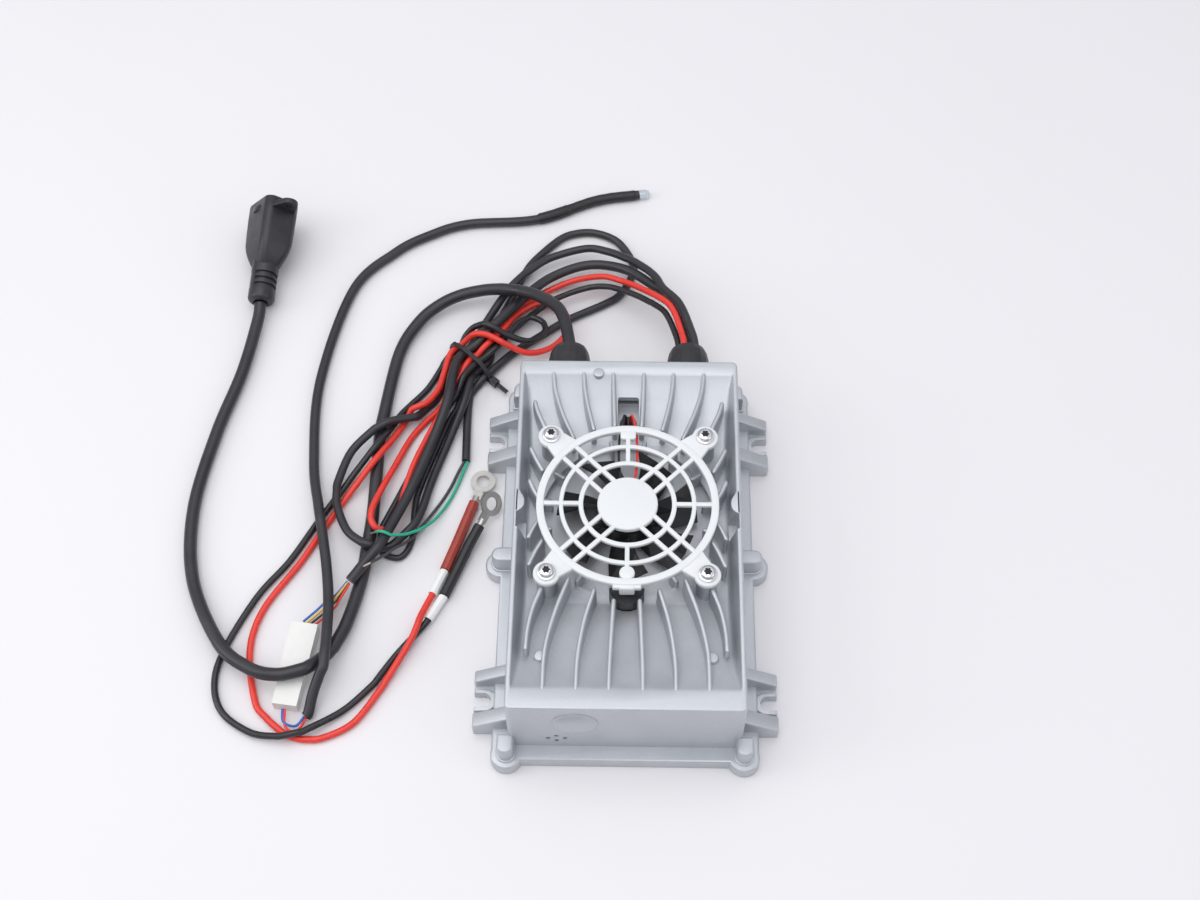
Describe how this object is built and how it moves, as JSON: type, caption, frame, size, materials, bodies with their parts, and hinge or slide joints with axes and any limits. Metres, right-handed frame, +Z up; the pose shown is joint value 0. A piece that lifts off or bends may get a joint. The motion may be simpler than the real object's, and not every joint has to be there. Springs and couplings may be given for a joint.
{
  "type": "forklift battery charger",
  "caption": "Finned cast-aluminium battery charger with a guarded top fan, mounting brackets, cable glands, mains inlet lead, DC ring-terminal leads, signal cables and a connector.",
  "frame": {"origin": "centre of the underside, on the bottom cover's face", "axes": "+Z up out of the fan, +Y towards the cable glands, +X to the right seen from the end without glands"},
  "size_m": [0.3262, 0.3866, 0.0646],
  "materials": {
    "casting": "fine-grained silver die casting with soft edges",
    "cover_plate": "flat sheet, satin",
    "gasket": "matt",
    "screw_steel": "bright",
    "guard_plastic": "glossy cool white",
    "fan_plastic": "satin",
    "magnet": "dull",
    "bearing_bronze": "sintered",
    "winding": "enamelled copper",
    "ferrite": "matt",
    "board": "solder mask",
    "capacitor": "shrunk sleeve",
    "component_plastic": "moulded",
    "gland_rubber": "moulded, satin",
    "cable_jacket": "extruded, satin",
    "wire_red": "extruded",
    "wire_black": "extruded",
    "wire_green": "extruded",
    "wire_grey": "extruded",
    "wire_blue": "extruded",
    "shrink_red": "shrunk sleeve",
    "shrink_black": "shrunk sleeve",
    "label": "plain white sleeve",
    "terminal": "tinned copper",
    "connector": "milky white nylon",
    "lens": "clear",
    "plug_plastic": "moulded",
    "tie_nylon": "moulded"
  },
  "bodies": {
    "charger": {"board_screw_1": "screw_steel", "board_screw_2": "screw_steel", "board_screw_3": "screw_steel", "board_screw_4": "screw_steel", "bottom_cover": "cover_plate", "bulk_capacitor": "capacitor", "cable_gland_left": "gland_rubber", "cable_gland_right": "gland_rubber", "cable_tie": "tie_nylon", "circuit_board": "board", "connector_lower": "connector", "connector_upper": "connector", "cover_gasket": "gasket", "cover_screw_1": "screw_steel", "cover_screw_2": "screw_steel", "cover_screw_3": "screw_steel", "cover_screw_4": "screw_steel", "cover_screw_5": "screw_steel", "cover_screw_6": "screw_steel", "dc_negative_wire": "wire_black", "dc_positive_wire": "wire_red", "fan_bearing": "bearing_bronze", "fan_guard": "guard_plastic", "fan_screw_1": "screw_steel", "fan_screw_2": "screw_steel", "fan_screw_3": "screw_steel", "fan_screw_4": "screw_steel", "fan_stator": "winding", "fan_wire_black": "wire_black", "fan_wire_red": "wire_red", "housing": "casting", "inlet_pin_earth": "screw_steel", "inlet_pin_live": "screw_steel", "inlet_pin_neutral": "screw_steel", "inlet_plug": "plug_plastic", "input_choke": "winding", "lamp_cable": "cable_jacket", "lamp_wires": "wire_blue", "lead_grommet": "gland_rubber", "mains_cable": "cable_jacket", "negative_label": "label", "negative_sleeve": "shrink_black", "negative_terminal": "terminal", "output_relay": "component_plastic", "pair_cable": "cable_jacket", "pair_green_wire": "wire_green", "pair_grey_wire": "wire_grey", "positive_label": "label", "positive_sleeve": "shrink_red", "positive_terminal": "terminal", "power_transistor": "component_plastic", "signal_cable": "cable_jacket", "signal_wires": "wire_blue", "status_lamp": "lens", "tab_buffer": "gland_rubber", "transformer_core": "ferrite", "transformer_winding": "winding"},
    "fan_rotor": {"fan_impeller": "fan_plastic", "fan_magnet_ring": "magnet", "fan_shaft": "screw_steel"}
  },
  "joints": [
    {"name": "fan_spin", "type": "hinge", "parent": "charger", "child": "fan_rotor", "pos_m": [0, 0.011, 0.045], "axis": [0, 0, 1], "continuous": true}
  ]
}
